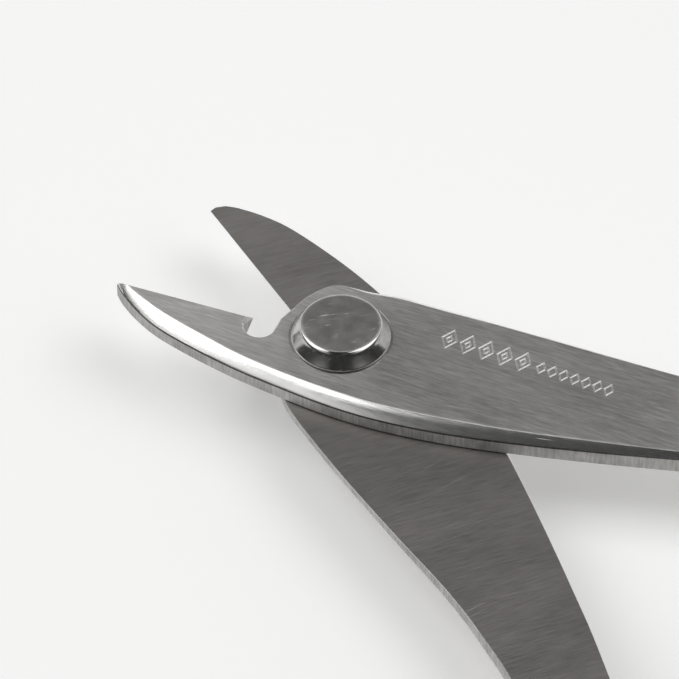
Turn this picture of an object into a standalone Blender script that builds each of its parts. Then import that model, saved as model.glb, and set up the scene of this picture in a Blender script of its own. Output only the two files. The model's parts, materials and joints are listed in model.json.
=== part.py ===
"""Lapped by-pass nippers: two flat stainless blades on one cone-headed pivot bolt, with moulded two-half
grips, a pair of leaf springs between them and a catch at the tail. Metres, +Z up, lying on z = 0."""

import math

import bmesh
import bpy
from mathutils import Vector

MM = 0.001

# The two blades, each a jaw, a pivot boss, an arm and a tang in one plate
JAW_LENGTH = 22.8 * MM
PLATE = 2.3 * MM
LAP_GAP = 0.1 * MM
OPENING = math.radians(33.2)
CUT_PAST_PIVOT = 1.28 * MM
CUT_AT_TIP = 0.04 * MM
CUT_BEVEL = 1.95 * MM
CUT_LAND = 0.12 * MM
TIP_BLUNT = 1.5 * MM
TIP_SLANT = 0.15 * MM
BACK = 7.95 * MM
ARM_OUTER = 8.55 * MM
BOSS = 6.2 * MM
EDGE_BREAK = 0.12 * MM
NOTCH_WIDTH = 3.0 * MM
NOTCH_DEPTH = 4.1 * MM
NOTCH_FROM_PIVOT = 7.65 * MM
TANG_HALF = 3.3 * MM
TANG_END = 0.57
TANG_BREAK = 0.3 * MM

# The pivot
SHANK_R = 2.5 * MM
RUNNING = 0.06 * MM
HEAD_R = 4.75 * MM
HEAD_TOP_R = 3.72 * MM
HEAD_HEIGHT = 1.75 * MM
HEAD_LIP = 0.28 * MM
END_BREAK = 0.3 * MM
SPOT_FACE_R = 4.95 * MM
SPOT_FACE_DEPTH = 0.12 * MM
WASHER_R = 4.6 * MM
WASHER = 0.5 * MM
WAVE = 0.25 * MM
WAVE_RISE = 0.25 * MM
WAVES = 3
NUT_FLATS = 7.0 * MM
NUT = 2.0 * MM
NUT_CHAMFER = 0.25 * MM
THREAD_R = 2.0 * MM
SEAT_GAP = 0.1 * MM

# The grips, each two moulded halves round a tang
GRIP_START = 53.0 * MM
GRIP_LENGTH = 73.0 * MM
GRIP_THICK = 14.0 * MM
GRIP_HALF = 7.7 * MM
GRIP_BOW = 15.6 * MM
GRIP_ROUND = 2.8 * MM
SPLIT_GAP = 0.15 * MM
POCKET_GAP = 0.25 * MM
PAD_SINK = 1.9 * MM
PAD_PROUD = 0.5 * MM
PAD_GAP = 0.25 * MM
PAD_EASE = 0.4 * MM
SCREW_R = 1.5 * MM
SCREW_HEAD_R = 2.75 * MM
SCREW_HEAD = 1.7 * MM
SCREW_PLACES = (0.19, 0.42)
SCREW_SINK = 0.3 * MM
KEY_FLATS = 2.0 * MM
KEY_DEPTH = 1.0 * MM
GRIP_NUT_FLATS = 5.5 * MM
GRIP_NUT = 2.4 * MM

# The leaf springs
LEAF = 0.7 * MM
LEAF_WIDTH = 6.4 * MM
LEAF_TIP_FROM_PIVOT = 58.0 * MM
LEAF_CURL_R = 1.9 * MM
SPRING_PIN_R = 1.0 * MM
SPRING_PIN_PLACE = 0.60
SPRING_PIN_SIDE = 5.0 * MM
SPRING_PIN_HALF = 5.0 * MM
SPRING_PIN_BREAK = 0.2 * MM

# The catch at the tail
CATCH = 1.6 * MM
CATCH_SLOT = 2.2 * MM
CATCH_SLOT_START = 0.67
CATCH_PLACE = 0.925
CATCH_SIDE = 6.6 * MM
CATCH_PIN_R = 1.5 * MM
CATCH_HEAD_R = 2.5 * MM
CATCH_HEAD = 1.0 * MM
CATCH_STOWED = math.radians(159)
CATCH_ARM = 2.3 * MM
CATCH_EYE_R = 3.1 * MM
CATCH_TAB = 8.6 * MM
CATCH_TAB_R = 1.4 * MM
CATCH_WALL = 1.7 * MM
HOOK_ROOM = 0.2 * MM
PIN_SINK = 0.25 * MM

# How finely the shapes are cut
ROUND = 32
FINE = 48
EDGE_STEPS = 4
GRIP_STEPS = 3
ROUNDING_STEPS = 4
SMALL = 20
LEAF_STEPS = 4

# Heights from the plane where the blades lap
GRIP_MID = GRIP_THICK / 2
PLATE_LOW = LAP_GAP / 2
PLATE_TOP = PLATE_LOW + PLATE
HEAD_SEAT = PLATE_TOP - SPOT_FACE_DEPTH + SEAT_GAP
WASHER_LOW = -HEAD_SEAT - WASHER
WAVE_MIDDLE = WASHER_LOW - SEAT_GAP - (WAVE_RISE + WAVE) / 2
NUT_TOP = WAVE_MIDDLE - (WAVE_RISE + WAVE) / 2 - SEAT_GAP
NUT_LOW = NUT_TOP - NUT


# Outlines

def through(points, steps):
    """Catmull-Rom curve through points of any dimension, with the last point left in."""
    ends = [points[0], *points, points[-1]]
    curve = []
    for before, start, end, after in zip(ends, ends[1:], ends[2:], ends[3:]):
        for step in range(steps):
            t = step / steps
            curve.append(tuple(
                0.5 * (2 * b + (c - a) * t + (2 * a - 5 * b + 4 * c - d) * t ** 2
                       + (3 * b - a - 3 * c + d) * t ** 3)
                for a, b, c, d in zip(before, start, end, after)
            ))
    return [*curve, tuple(points[-1])]


def through_loop(points, steps):
    """The same curve closed on itself."""
    wrapped = through([*points[-2:], *points, *points[:2]], steps)
    return wrapped[2 * steps:-(steps + 1)]


def inset(outline, width):
    """The anticlockwise outline moved inwards by width, mitred at its corners."""
    moved = []
    for before, here, after in zip([outline[-1], *outline], outline, [*outline[1:], outline[0]]):
        first = (Vector(here[:2]) - Vector(before[:2])).normalized()
        second = (Vector(after[:2]) - Vector(here[:2])).normalized()
        first = Vector((-first.y, first.x))
        second = Vector((-second.y, second.x))
        place = Vector(here[:2]) + (first + second) * width / (1 + first.dot(second))
        moved.append((place.x, place.y))
    return moved


def circle(radius, count, centre=(0, 0), start=0.0):
    turns = [start + 2 * math.pi * step / count for step in range(count)]
    return [(centre[0] + radius * math.cos(turn), centre[1] + radius * math.sin(turn)) for turn in turns]


def arc(radius, start, end, steps, centre=(0, 0)):
    turns = [start + (end - start) * step / steps for step in range(steps + 1)]
    return [(centre[0] + radius * math.cos(turn), centre[1] + radius * math.sin(turn)) for turn in turns]


def hexagon(flats, centre=(0, 0)):
    return circle(flats / math.sqrt(3), 6, centre)


def turned_by(point, angle):
    x, y = point
    return (x * math.cos(angle) - y * math.sin(angle), x * math.sin(angle) + y * math.cos(angle))


# Solids

def solid(name, rings, material=None, ring_round=False):
    """Rings of as many points each, joined in turn and capped, or joined last to first with ring_round."""
    bm = bmesh.new()
    loops = [[bm.verts.new(point) for point in ring] for ring in rings]
    pairs = list(zip(loops, loops[1:]))
    if ring_round:
        pairs.append((loops[-1], loops[0]))
    else:
        bm.faces.new(loops[0])
        bm.faces.new(loops[-1])
    for low, high in pairs:
        for one, two, three, four in zip(low, [*low[1:], low[0]], [*high[1:], high[0]], high):
            bm.faces.new((one, two, three, four))
    bmesh.ops.remove_doubles(bm, verts=bm.verts, dist=1e-7)
    bmesh.ops.recalc_face_normals(bm, faces=bm.faces)
    mesh = bpy.data.meshes.new(name)
    bm.to_mesh(mesh)
    bm.free()
    piece = bpy.data.objects.new(name, mesh)
    bpy.context.scene.collection.objects.link(piece)
    if material:
        mesh.materials.append(material)
        mesh.shade_smooth()
        mesh.set_sharp_from_angle(angle=math.radians(35))
    return piece


def at_height(outline, height):
    return [(point[0], point[1], height) for point in outline]


def prism(name, outline, low, high, material=None):
    return solid(name, [at_height(outline, low), at_height(outline, high)], material)


def turned(name, profile, material=None, count=ROUND, centre=(0, 0)):
    """A solid of revolution about an upright axis, from (radius, height) pairs up its side."""
    rings = [at_height(circle(radius, count, centre), height) for radius, height in profile]
    return solid(name, rings, material)


def tube(name, profile, material):
    """A ring of revolution from a closed (radius, height) profile."""
    rings = [at_height(circle(radius, ROUND), height) for radius, height in profile]
    return solid(name, rings, material, True)


def drill(name, radius, low, high, centre=(0, 0), count=FINE):
    """A round cutter between two heights given in either order."""
    return prism(name, circle(radius, count, centre), min(low, high), max(low, high))


def cut(piece, cutter, operation="DIFFERENCE"):
    cutter.hide_render = True
    cutter.display_type = "WIRE"
    modifier = piece.modifiers.new(cutter.name, "BOOLEAN")
    modifier.operation = operation
    modifier.solver = "EXACT"
    modifier.object = cutter


def hold(piece, holder):
    """Parents a piece and the cutters in its modifiers to an empty."""
    piece.parent = holder
    for modifier in piece.modifiers:
        modifier.object.parent = holder


def material(name, colour, roughness, metallic):
    made = bpy.data.materials.new(name)
    made.use_nodes = True
    shader = made.node_tree.nodes["Principled BSDF"]
    shader.inputs["Base Color"].default_value = (*colour, 1)
    shader.inputs["Roughness"].default_value = roughness
    shader.inputs["Metallic"].default_value = metallic
    made.diffuse_color = (*colour, 1)
    return made


def empty(name, parent=None, place=(0, 0, 0), turn=0.0):
    holder = bpy.data.objects.new(name, None)
    holder.empty_display_size = 0.01
    holder.parent = parent
    holder.location = place
    holder.rotation_euler.z = turn
    bpy.context.scene.collection.objects.link(holder)
    return holder


# Where things lie, for the upper side with the jaws shut: jaw at -X below the line, handle at +X above it

def cut_line(x):
    return CUT_PAST_PIVOT + x * (CUT_PAST_PIVOT - CUT_AT_TIP) / JAW_LENGTH


def grip_centre(share):
    """The grip's centre line, at a share of its length from its front."""
    bow = [(0, 0.585), (0.14, 0.79), (0.32, 0.965), (0.48, 1.0), (0.66, 0.90), (0.82, 0.655), (1.0, 0.33)]
    curve = through([(along, rise * GRIP_BOW) for along, rise in bow], 12)
    for (x0, y0), (x1, y1) in zip(curve, curve[1:]):
        if share <= x1:
            break
    rise = y0 + (y1 - y0) * (share - x0) / (x1 - x0)
    return (GRIP_START + share * GRIP_LENGTH, rise)


def grip_outline():
    """Anticlockwise round the grip: blunt front, inner side, round tail, outer side."""
    front = [(0.012, 0.45), (-0.008, 0.0), (0.004, -0.42), (0.045, -0.72)]
    inner = [(0.13, -0.86), (0.30, -0.99), (0.46, -1.0), (0.62, -0.97), (0.76, -0.92), (0.86, -0.93)]
    outer = [
        (0.85, 0.72), (0.74, 0.86), (0.60, 0.97), (0.44, 1.0), (0.28, 0.98), (0.14, 0.92), (0.055, 0.80),
    ]
    end = GRIP_START + GRIP_LENGTH
    tail = [(5.4, 0.0), (2.3, 1.2), (0.1, 4.6), (1.0, 8.4), (4.6, 11.8)]

    def beside(places):
        found = []
        for share, wide in places:
            x, y = grip_centre(max(share, 0.0))
            found.append((x + min(share, 0.0) * GRIP_LENGTH, y + wide * GRIP_HALF))
        return found

    loop = beside(front) + beside(inner)
    loop += [(end - back * MM, SEAT_GAP + rise * MM) for back, rise in tail]
    loop += beside(outer)
    return through_loop(loop, GRIP_STEPS)


def back_edge():
    """(x, y, chamfer width, chamfer depth) from the tip along the jaw's back and the arm's inner edge."""
    jaw = [
        (-0.991, -0.19, 0.6, 0.68), (-0.939, -0.327, 0.75, 0.7), (-0.845, -0.497, 1.1, 0.84),
        (-0.730, -0.642, 1.3, 0.95), (-0.553, -0.774, 1.3, 0.95), (-0.35, -0.885, 1.15, 0.95),
        (-0.13, -0.956, 1.15, 0.95),
    ]
    arm = [
        (2.0, -1.0, 1.25, 0.95), (7.0, -0.985, 1.25, 0.95), (13.0, -0.888, 1.2, 0.92),
        (20.0, -0.703, 0.95, 0.85), (28.0, -0.443, 0.75, 0.75), (36.0, -0.157, 0.45, 0.6),
        (43.0, 0.112, 0.35, 0.4),
    ]
    points = [(x * JAW_LENGTH, y * BACK, wide * MM, deep * MM) for x, y, wide, deep in jaw]
    points += [(x * MM, y * BACK, wide * MM, deep * MM) for x, y, wide, deep in arm]
    x, y = grip_centre(0.0)
    points.append((x + 1.0 * MM, y - 4.3 * MM, TANG_BREAK, TANG_BREAK))
    for share in (0.14, 0.30, 0.46, TANG_END):
        x, y = grip_centre(share)
        points.append((x, y - TANG_HALF, TANG_BREAK, TANG_BREAK))
    return points


def outer_edge():
    """The same from the tang's end back along the arm's outer edge to the pivot boss."""
    points = []
    for share in (TANG_END, 0.46, 0.30, 0.14):
        x, y = grip_centre(share)
        points.append((x, y + TANG_HALF, TANG_BREAK, TANG_BREAK))
    x, y = grip_centre(0.0)
    points.append((x - 1.5 * MM, y + 4.1 * MM, 0.35 * MM, 0.4 * MM))
    arm = [
        (43.0, 1.15, 0.55, 0.6), (36.0, 1.025, 0.72, 0.85), (30.0, 0.979, 0.72, 1.0),
        (22.0, 0.996, 1.14, 1.3), (14.0, 0.999, 1.38, 1.42), (8.0, 0.978, 1.5, 1.45),
        (3.2, 0.933, 1.33, 1.32), (0.2, 0.83, 0.95, 0.9),
    ]
    points += [(x * MM, y * ARM_OUTER, wide * MM, deep * MM) for x, y, wide, deep in arm]
    for turn, reach in ((113, 1.08), (128, 1.05), (145, 0.985), (163, 0.945)):
        x, y = turned_by((reach * BOSS, 0), math.radians(turn))
        points.append((x, y, EDGE_BREAK, EDGE_BREAK))
    return points


def wire_notch():
    """The notch's outline from the boss round to the foot of its front wall."""
    half = NOTCH_WIDTH / 2
    floor = cut_line(-NOTCH_FROM_PIVOT) - NOTCH_DEPTH
    centre = (-NOTCH_FROM_PIVOT, floor + half)
    return [(centre[0] + half, centre[1] + 1.6 * MM), *arc(half, 0, -math.pi * 0.94, 8, centre)[1:]]


def tang_outline():
    """The pocket that the tang lies in, from just ahead of the grip to past the tang's end."""
    edge = [point[:2] for point in [*through(back_edge(), EDGE_STEPS), *through(outer_edge(), EDGE_STEPS)]]
    return inset([point for point in edge if point[0] > GRIP_START - 4 * MM], -POCKET_GAP)


def with_top(points):
    """Each (x, y, width, depth) as its place in the lap plane, its place in the outer face and its break."""
    made = []
    for before, here, after in zip([points[0], *points], points, [*points[1:], points[-1]]):
        along = (Vector(after[:2]) - Vector(before[:2])).normalized()
        x, y, wide, deep = here
        made.append(((x, y), (x - along.y * wide, y + along.x * wide), PLATE_TOP - deep))
    return made


def blade_rings(notched):
    """The plate's outline at its lap face, at the break of its chamfers and at its outer face."""
    tip = (-JAW_LENGTH, cut_line(-JAW_LENGTH))
    tip_top = (-JAW_LENGTH + TIP_BLUNT, cut_line(-JAW_LENGTH + TIP_BLUNT) - CUT_BEVEL)
    land = PLATE_LOW + CUT_LAND
    back = with_top(through(back_edge(), EDGE_STEPS))
    reach = tip_top[0] + TIP_SLANT
    back = [(low, top if top[0] > reach else tip_top, height) for low, top, height in back]
    tip_end = [
        (tip, tip_top, land),
        ((tip[0] - TIP_SLANT, tip[1] - 0.42 * TIP_BLUNT), tip_top, PLATE_LOW + 0.30 * PLATE),
    ]
    outer = with_top(through(outer_edge(), EDGE_STEPS))
    points = [*tip_end, *back, *outer]
    corner_x = -BOSS * 0.935
    foot_x = corner_x
    if notched:
        notch = wire_notch()
        points += with_top([(x, y, EDGE_BREAK, EDGE_BREAK) for x, y in notch])
        corner_x = -NOTCH_FROM_PIVOT - NOTCH_WIDTH * 0.59
        corner_y = cut_line(corner_x)
        share = CUT_BEVEL / (corner_y - notch[-1][1])
        foot_x = corner_x + (notch[-1][0] - corner_x) * share
    corner = (corner_x, cut_line(corner_x))
    points.append((corner, (foot_x, corner[1] - CUT_BEVEL), land))
    lap = [(x, y, PLATE_LOW) for (x, y), _, _ in points]
    broken = [(x, y, height) for (x, y), _, height in points]
    face = [(x, y, PLATE_TOP) for _, (x, y), _ in points]
    return [lap, broken, face]


def on_side(rings, side):
    """Rings for the upper side (1) as they are, or turned half over about X for the lower side (-1)."""
    return [[(x, side * y, side * z) for x, y, z in ring] for ring in rings]


# The pieces

def make_blade(name, side, notched, steel):
    blade = solid(name, on_side(blade_rings(notched), side), steel)
    low = side * (PLATE_LOW - 1 * MM)
    high = side * (PLATE_TOP + 1 * MM)
    face = side * (PLATE_TOP - SPOT_FACE_DEPTH)
    cut(blade, drill(name + "_bore", SHANK_R + RUNNING, low, high))
    cut(blade, drill(name + "_spot_face", SPOT_FACE_R, face, high))
    for number, share in enumerate(SCREW_PLACES):
        x, y = grip_centre(share)
        hole = name + f"_screw_hole_{number}"
        cut(blade, drill(hole, SCREW_R + POCKET_GAP, low, high, (x, side * y), SMALL))
    return blade


def make_pivot_bolt(steel):
    """A low cone head with a rolled lip, a plain shank through both plates and a thinner threaded end."""
    top = HEAD_SEAT + HEAD_HEIGHT
    end = NUT_LOW - 2 * SEAT_GAP
    lip = HEAD_LIP
    profile = [
        (THREAD_R - END_BREAK, end), (THREAD_R, end + END_BREAK), (THREAD_R, -PLATE_TOP + 0.2 * MM),
        (SHANK_R, -PLATE_TOP + 0.3 * MM), (SHANK_R, HEAD_SEAT), (HEAD_R - 0.05 * MM, HEAD_SEAT),
        (HEAD_R, HEAD_SEAT + 0.1 * MM), (HEAD_TOP_R + lip * 0.75, top - lip),
        (HEAD_TOP_R + lip * 0.4, top - lip * 0.35), (HEAD_TOP_R, top - 0.01 * MM),
        (HEAD_TOP_R - 0.5 * MM, top),
    ]
    return turned("pivot_bolt", profile, steel, FINE)


def make_washers(steel):
    """A flat washer against the lower blade and a wave washer between it and the nut."""
    bore = THREAD_R + SPLIT_GAP
    section = [(bore, WASHER_LOW), (WASHER_R, WASHER_LOW), (WASHER_R, -HEAD_SEAT), (bore, -HEAD_SEAT)]
    flat = tube("pivot_washer", section, steel)
    rings = []
    for radius, lift in ((bore, -1), (WASHER_R * 0.88, -1), (WASHER_R * 0.88, 1), (bore, 1)):
        ring = []
        for x, y in circle(radius, FINE // 2):
            wave = WAVE_RISE / 2 * math.cos(WAVES * math.atan2(y, x))
            ring.append((x, y, WAVE_MIDDLE + wave + lift * WAVE / 2))
        rings.append(ring)
    return [flat, solid("wave_washer", rings, steel, True)]


def make_pivot_nut(steel):
    nut = solid("pivot_nut", [
        at_height(inset(hexagon(NUT_FLATS), NUT_CHAMFER), NUT_LOW),
        at_height(hexagon(NUT_FLATS), NUT_LOW + NUT_CHAMFER),
        at_height(hexagon(NUT_FLATS), NUT_TOP),
    ], steel)
    bore = THREAD_R + RUNNING
    cut(nut, drill("pivot_nut_bore", bore, NUT_LOW - MM, NUT_TOP + MM, count=ROUND))
    return nut


def pad_outline(sink, proud, ends):
    """The soft pad's outline along the grip's outer side."""
    outer = [grip_centre(share) for share in (0.10, 0.14, 0.20, 0.28, 0.36, 0.44, 0.52, 0.60, 0.66)]
    wides = [0.875, 0.905, 0.945, 0.98, 0.995, 1.0, 0.99, 0.97, 0.935]
    outer = [(x, y + wide * GRIP_HALF) for (x, y), wide in zip(outer, wides)]
    outer[0] = (outer[0][0] - ends, outer[0][1] - 0.3 * ends)
    outer[-1] = (outer[-1][0] + ends, outer[-1][1] - 0.3 * ends)
    curve = through(outer, 3)
    low, high = [], []
    for before, here, after in zip([curve[0], *curve], curve, [*curve[1:], curve[-1]]):
        along = (Vector(after) - Vector(before)).normalized()
        low.append((here[0] + along.y * sink, here[1] - along.x * sink))
        high.append((here[0] - along.y * proud, here[1] + along.x * proud))
    return [*low, *reversed(high)]


def spring_pin_place():
    x, y = grip_centre(SPRING_PIN_PLACE)
    return (x, y - SPRING_PIN_SIDE)


def leaf_path():
    """The leaf's middle line from its eye to its curled tip, in the shut frame of the upper side."""
    eye = spring_pin_place()
    eye_r = SPRING_PIN_R + SEAT_GAP + LEAF / 2
    open_half = OPENING / 2
    middle = LEAF / 2 + SEAT_GAP
    tip = LEAF_TIP_FROM_PIVOT
    eye_open = turned_by(eye, open_half)
    start = (eye_open[0] - eye_r * 0.25, eye_open[1] - eye_r * 0.97)
    run_x = start[0] - tip
    run_y = start[1] - middle
    bend = [(0, 0), (0.16, 0.17), (0.40, 0.44), (0.66, 0.735), (0.86, 0.93), (0.95, 0.985), (1.0, 1.0)]
    path = [(start[0] - along * run_x, start[1] - across * run_y) for along, across in bend]
    path = through(path, LEAF_STEPS)
    curl = arc(LEAF_CURL_R, -math.pi / 2, -math.pi * 1.45, 8, (tip, middle + LEAF_CURL_R))
    path += curl[1:]
    return [turned_by(point, -open_half) for point in path]


def leaf_outline(thick, with_tip):
    """The strip seen from above, all of it or only the end that runs into the grip."""
    path = leaf_path()
    one, two = [], []
    for before, here, after in zip([path[0], *path], path, [*path[1:], path[-1]]):
        along = (Vector(after) - Vector(before)).normalized() * thick / 2
        one.append((here[0] - along.y, here[1] + along.x))
        two.append((here[0] + along.y, here[1] - along.x))
    count = len(path) if with_tip else 3 * LEAF_STEPS
    return [*one[:count], *reversed(two[:count])]


def make_leaf(name, side, steel):
    low, high = -LEAF_WIDTH / 2, LEAF_WIDTH / 2
    strip = prism(name, [(x, side * y) for x, y in leaf_outline(LEAF, True)], low, high, steel)
    x, y = spring_pin_place()
    outer_r = SPRING_PIN_R + SEAT_GAP + LEAF
    cut(strip, prism(name + "_eye", circle(outer_r, SMALL, (x, side * y)), low, high), "UNION")
    cut(strip, drill(name + "_eye_bore", SPRING_PIN_R + SEAT_GAP, low - MM, high + MM, (x, side * y), SMALL))
    return strip


def make_spring_pin(name, side, steel):
    x, y = spring_pin_place()
    shoulder = SPRING_PIN_HALF - SPRING_PIN_BREAK
    end_r = SPRING_PIN_R - SPRING_PIN_BREAK
    return turned(name, [
        (end_r, -SPRING_PIN_HALF), (SPRING_PIN_R, -shoulder),
        (SPRING_PIN_R, shoulder), (end_r, SPRING_PIN_HALF),
    ], steel, SMALL, (x, side * y))


def catch_place():
    x, _ = grip_centre(CATCH_PLACE)
    return (x, CATCH_SIDE)


def make_shell(name, side, half, plastic):
    """One moulded half, above (half 1) or below (half -1) the middle plane, on the upper or lower side."""
    outline = [(x, side * y) for x, y in grip_outline()]
    if side < 0:
        outline.reverse()
    rings = [at_height(outline, half * SPLIT_GAP / 2)]
    for step in range(ROUNDING_STEPS + 1):
        turn = math.pi / 2 * step / ROUNDING_STEPS
        sunk = GRIP_ROUND * (1 - math.cos(turn))
        height = GRIP_MID - GRIP_ROUND * (1 - math.sin(turn))
        rings.append(at_height(inset(outline, sunk), half * height))
    shell = solid(name, rings, plastic)
    reach = half * 2 * GRIP_THICK

    def hollow(label, shape, low, high):
        cut(shell, prism(f"{name}_{label}", shape, min(low, high), max(low, high)))

    if half == side:
        tang = [(x, side * y) for x, y in tang_outline()]
        hollow("tang_pocket", tang, -half * MM, half * (PLATE_TOP + POCKET_GAP))
    pad = [(x, side * y) for x, y in pad_outline(PAD_SINK + PAD_GAP, GRIP_HALF, PAD_GAP)]
    hollow("pad_groove", pad, -half * MM, half * (GRIP_MID - GRIP_ROUND + PAD_GAP))
    for number, share in enumerate(SCREW_PLACES):
        x, y = grip_centre(share)
        centre = (x, side * y)
        hollow(f"screw_hole_{number}", circle(SCREW_R + PAD_GAP, SMALL, centre), -half * MM, reach)
        if half > 0:
            seat = GRIP_MID - SCREW_SINK - SCREW_HEAD
            hollow(f"head_seat_{number}", circle(SCREW_HEAD_R + PAD_GAP, SMALL, centre), seat, reach)
        else:
            seat = GRIP_MID - SCREW_SINK - GRIP_NUT
            hollow(f"nut_seat_{number}", hexagon(GRIP_NUT_FLATS + 2 * PAD_GAP, centre), -seat, reach)
    x, y = spring_pin_place()
    pin = (x, side * y)
    pin_end = half * (SPRING_PIN_HALF + SEAT_GAP)
    hollow("spring_pin_hole", circle(SPRING_PIN_R + SEAT_GAP / 2, SMALL, pin), -half * MM, pin_end)
    room = half * (LEAF_WIDTH / 2 + PAD_GAP)
    eye_room = SPRING_PIN_R + SEAT_GAP + LEAF + PAD_GAP
    hollow("eye_pocket", circle(eye_room, SMALL, pin), -half * MM, room)
    exit_way = [(px, side * py) for px, py in leaf_outline(LEAF + 4 * PAD_GAP, False)]
    hollow("leaf_slot", exit_way, -half * MM, room)
    start = GRIP_START + CATCH_SLOT_START * GRIP_LENGTH
    end = GRIP_START + GRIP_LENGTH + 2 * MM
    block = [(start, -3 * GRIP_HALF), (end, -3 * GRIP_HALF), (end, 5 * GRIP_HALF), (start, 5 * GRIP_HALF)]
    hollow("catch_slot", [(px, side * py) for px, py in block], -half * MM, half * CATCH_SLOT / 2)
    x, y = catch_place()
    centre = (x, side * y)
    seat = half * (GRIP_MID - CATCH_HEAD)
    hollow("catch_pin_hole", circle(CATCH_PIN_R + RUNNING, SMALL, centre), 0, reach)
    hollow("catch_head_seat", circle(CATCH_HEAD_R + PAD_GAP, SMALL, centre), seat, reach)
    return shell


def make_pad(name, side, rubber):
    outline = [(x, side * y) for x, y in pad_outline(PAD_SINK, PAD_PROUD, 0)]
    if side < 0:
        outline.reverse()
    tall = GRIP_MID - GRIP_ROUND
    levels = [(-tall, PAD_EASE), (-tall + PAD_EASE, 0), (tall - PAD_EASE, 0), (tall, PAD_EASE)]
    return solid(name, [at_height(inset(outline, sunk), height) for height, sunk in levels], rubber)


def make_grip_screw(name, side, share, steel):
    x, y = grip_centre(share)
    seat = GRIP_MID - SCREW_SINK - SCREW_HEAD + SEAT_GAP
    top = seat + SCREW_HEAD - SEAT_GAP
    end = -GRIP_MID + SCREW_SINK + SPLIT_GAP
    screw = turned(name, [
        (SCREW_R - END_BREAK, end), (SCREW_R, end + END_BREAK), (SCREW_R, seat), (SCREW_HEAD_R, seat),
        (SCREW_HEAD_R, top - 0.5 * MM), (SCREW_HEAD_R - 0.2 * MM, top - 0.12 * MM),
        (SCREW_HEAD_R - 0.6 * MM, top),
    ], steel, SMALL, (x, side * y))
    cut(screw, prism(name + "_key", hexagon(KEY_FLATS, (x, side * y)), top - KEY_DEPTH, top + MM))
    return screw


def make_grip_nut(name, side, share, steel):
    x, y = grip_centre(share)
    centre = (x, side * y)
    low = -GRIP_MID + SCREW_SINK
    high = low + GRIP_NUT - SEAT_GAP
    nut = solid(name, [
        at_height(inset(hexagon(GRIP_NUT_FLATS, centre), NUT_CHAMFER), low),
        at_height(hexagon(GRIP_NUT_FLATS, centre), low + NUT_CHAMFER),
        at_height(hexagon(GRIP_NUT_FLATS, centre), high),
    ], steel)
    cut(nut, drill(name + "_bore", SCREW_R + SEAT_GAP, low - MM, high + MM, centre, SMALL))
    return nut


def make_cross_pin(name, side, steel):
    """A headed pin through a tail's two halves: the catch turns on one and hooks the other."""
    x, y = catch_place()
    face = GRIP_MID - PIN_SINK
    seat = GRIP_MID - CATCH_HEAD + SEAT_GAP
    return turned(name, [
        (CATCH_HEAD_R - END_BREAK, -face), (CATCH_HEAD_R, -face + END_BREAK), (CATCH_HEAD_R, -seat),
        (CATCH_PIN_R, -seat), (CATCH_PIN_R, seat), (CATCH_HEAD_R, seat), (CATCH_HEAD_R, face - END_BREAK),
        (CATCH_HEAD_R - END_BREAK, face),
    ], steel, SMALL, (x, side * y))


def catch_outline():
    """A lever about its pin: an arm along +X, an arc slot at its end open on the leading side, and a tab."""
    reach = 2 * CATCH_SIDE
    slot = CATCH_PIN_R + HOOK_ROOM
    lead = math.radians(15)
    stop = math.radians(-3)
    tail = math.radians(-15)
    inner = reach - slot - CATCH_WALL
    points = arc(reach + slot + CATCH_WALL, tail, lead, 6)
    points += arc(reach + slot, lead, stop, 4)
    points += arc(slot, stop, stop - math.pi, 8, turned_by((reach, 0), stop))[1:-1]
    points += arc(reach - slot, stop, lead, 4)
    points += arc(inner, lead, math.asin(CATCH_ARM / inner), 2)
    eye = math.asin(CATCH_ARM / CATCH_EYE_R)
    points += arc(CATCH_EYE_R, eye, math.radians(150), 6)
    points += arc(CATCH_TAB_R, math.radians(100), math.radians(260), 6, (CATCH_TAB_R - CATCH_TAB, 0))
    points += arc(CATCH_EYE_R, math.radians(210), 2 * math.pi - eye, 6)
    return points


def make_catch(steel):
    lever = prism("catch_lever", catch_outline(), -CATCH / 2, CATCH / 2, steel)
    cut(lever, drill("catch_lever_bore", CATCH_PIN_R + RUNNING, -CATCH, CATCH, count=SMALL))
    return lever


def centre_on_base(root):
    """Moves the whole assembly so that the middle of its box's bottom is the origin."""
    bpy.context.view_layer.update()
    graph = bpy.context.evaluated_depsgraph_get()
    corners = []
    for piece in bpy.context.scene.objects:
        if piece.type == "MESH" and not piece.hide_render:
            shape = piece.evaluated_get(graph)
            corners += [shape.matrix_world @ vertex.co for vertex in shape.data.vertices]
    low = [min(corner[axis] for corner in corners) for axis in range(3)]
    high = [max(corner[axis] for corner in corners) for axis in range(3)]
    root.location = (-(low[0] + high[0]) / 2, -(low[1] + high[1]) / 2, -low[2])


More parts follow.
